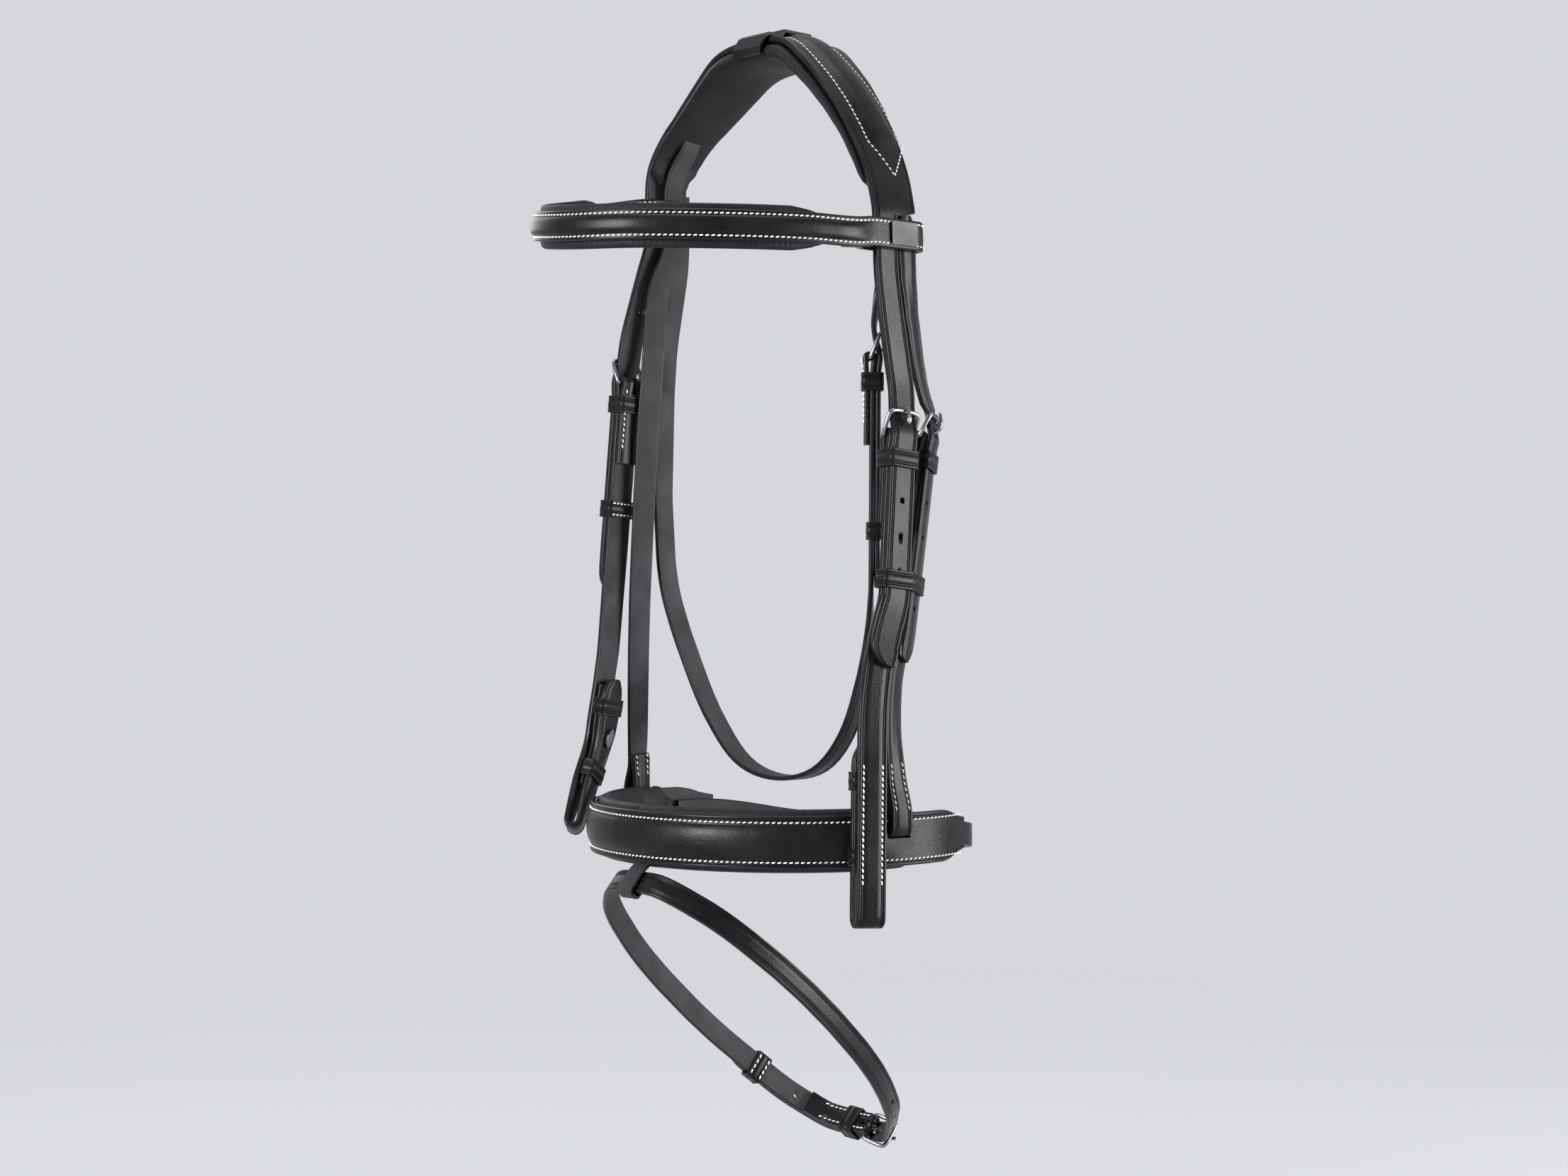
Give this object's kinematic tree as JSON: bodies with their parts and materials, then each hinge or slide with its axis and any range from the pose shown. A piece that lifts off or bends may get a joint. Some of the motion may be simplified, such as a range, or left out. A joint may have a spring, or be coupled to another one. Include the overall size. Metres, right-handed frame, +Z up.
{
  "type": "horse bridle",
  "caption": "Black leather English bridle with padded crown and browband, buckled cheekpieces with hook-stud ends, throatlatch, padded noseband and flash strap.",
  "frame": {"origin": "middle of the crown lining's flat underside, where the bridle rests on the poll", "axes": "+Z up, the horse faces -Y, +X is the horse's near (left) side"},
  "size_m": [0.2285, 0.2359, 0.616],
  "materials": {
    "leather": "smooth black bridle leather, satin",
    "padding": "soft black leather over padding, matt",
    "steel": "polished stainless steel",
    "plate": "dark pewter, plain"
  },
  "bodies": {
    "bridle": {"crown_lining": "padding", "headpiece": "leather", "near_cheek_bit_backing": "leather", "near_cheek_bit_keeper_lower": "leather", "near_cheek_bit_keeper_upper": "leather", "near_cheek_frame": "steel", "near_cheek_hook_stud": "steel", "near_cheek_keeper": "leather", "near_cheekpiece": "leather", "near_hanger": "leather", "noseband_frame": "steel", "noseband_keeper": "leather", "off_cheek_bit_backing": "leather", "off_cheek_bit_keeper_lower": "leather", "off_cheek_bit_keeper_upper": "leather", "off_cheek_frame": "steel", "off_cheek_hook_stud": "steel", "off_cheek_keeper": "leather", "off_cheekpiece": "leather", "poll_keeper": "leather", "poll_strap": "leather", "throat_frame": "steel", "throat_keeper": "leather", "throatlatch": "leather"},
    "browband": {"browband_leather": "leather", "browband_padding": "padding", "browband_plate": "plate"},
    "noseband": {"noseband_leather": "leather", "noseband_padding": "padding", "crank_billet": "leather", "crank_strap": "leather", "crank_frame": "steel", "crank_keeper": "leather", "flash_tab": "leather"},
    "flash": {"flash_strap": "leather", "flash_frame": "steel", "flash_keeper": "leather"},
    "near_cheek_tongue": {"near_cheek_tongue": "steel"},
    "near_cheek_runner": {"near_cheek_runner": "leather"},
    "off_cheek_tongue": {"off_cheek_tongue": "steel"},
    "off_cheek_runner": {"off_cheek_runner": "leather"},
    "noseband_tongue": {"noseband_tongue": "steel"},
    "noseband_runner": {"noseband_runner": "leather"},
    "throat_tongue": {"throat_tongue": "steel"},
    "throat_runner": {"throat_runner": "leather"},
    "crank_tongue": {"crank_tongue": "steel"},
    "crank_runner": {"crank_runner": "leather"},
    "flash_tongue": {"flash_tongue": "steel"},
    "flash_runner": {"flash_runner": "leather"}
  },
  "joints": [
    {"name": "browband_slide", "type": "slide", "parent": "bridle", "child": "browband", "axis": [0, 0, 1], "range_m": [-0.003, 0.003]},
    {"name": "noseband_swing", "type": "hinge", "parent": "bridle", "child": "noseband", "pos_m": [0, -0.01789, -0.4067], "axis": [1, 0, 0], "range_deg": [-5, 5]},
    {"name": "flash_swing", "type": "hinge", "parent": "noseband", "child": "flash", "pos_m": [0, -0.1055, -0.4366], "axis": [1, 0, 0], "range_deg": [-5, 5]},
    {"name": "near_cheek_tongue_lift", "type": "hinge", "parent": "bridle", "child": "near_cheek_tongue", "pos_m": [0.09186, -0.00539, -0.20593], "axis": [0.1194, 0.9861, -0.1151], "range_deg": [0, 8]},
    {"name": "near_cheek_runner_slide", "type": "slide", "parent": "bridle", "child": "near_cheek_runner", "axis": [0.0615, -0.1231, -0.9905], "range_m": [-0.022, 0.002]},
    {"name": "off_cheek_tongue_lift", "type": "hinge", "parent": "bridle", "child": "off_cheek_tongue", "pos_m": [-0.09423, -0.03084, -0.169], "axis": [0.0753, -0.9949, 0.0674], "range_deg": [0, 8]},
    {"name": "off_cheek_runner_slide", "type": "slide", "parent": "bridle", "child": "off_cheek_runner", "axis": [-0.0324, -0.07, -0.997], "range_m": [-0.018, 0.014]},
    {"name": "noseband_tongue_lift", "type": "hinge", "parent": "bridle", "child": "noseband_tongue", "pos_m": [0.08522, 0.02138, -0.20608], "axis": [-0.4146, 0.8816, -0.2255], "range_deg": [0, 8]},
    {"name": "noseband_runner_slide", "type": "slide", "parent": "bridle", "child": "noseband_runner", "axis": [0.0582, -0.2216, -0.9734], "range_m": [-0.024, 0.014]},
    {"name": "throat_tongue_lift", "type": "hinge", "parent": "bridle", "child": "throat_tongue", "pos_m": [0.07229, -0.00599, -0.16399], "axis": [-0.7311, 0.6819, 0.0209], "range_deg": [0, 8]},
    {"name": "throat_runner_slide", "type": "slide", "parent": "bridle", "child": "throat_runner", "axis": [-0.0182, 0.0111, -0.9998], "range_m": [-0.035, 0.016]},
    {"name": "crank_tongue_lift", "type": "hinge", "parent": "noseband", "child": "crank_tongue", "pos_m": [0.00024, 0.0714, -0.42161], "axis": [0.039, 0.0044, 0.9992], "range_deg": [0, 8]},
    {"name": "crank_runner_slide", "type": "slide", "parent": "noseband", "child": "crank_runner", "axis": [-0.993, -0.1111, 0.0392], "range_m": [-0.008, 0.006]},
    {"name": "flash_tongue_lift", "type": "hinge", "parent": "flash", "child": "flash_tongue", "pos_m": [0.00499, 0.0606, -0.58616], "axis": [0, 0.6691, 0.7431], "range_deg": [0, 8]},
    {"name": "flash_runner_slide", "type": "slide", "parent": "flash", "child": "flash_runner", "axis": [-0.3061, -0.7075, 0.637], "range_m": [-0.007, 0.009]}
  ]
}
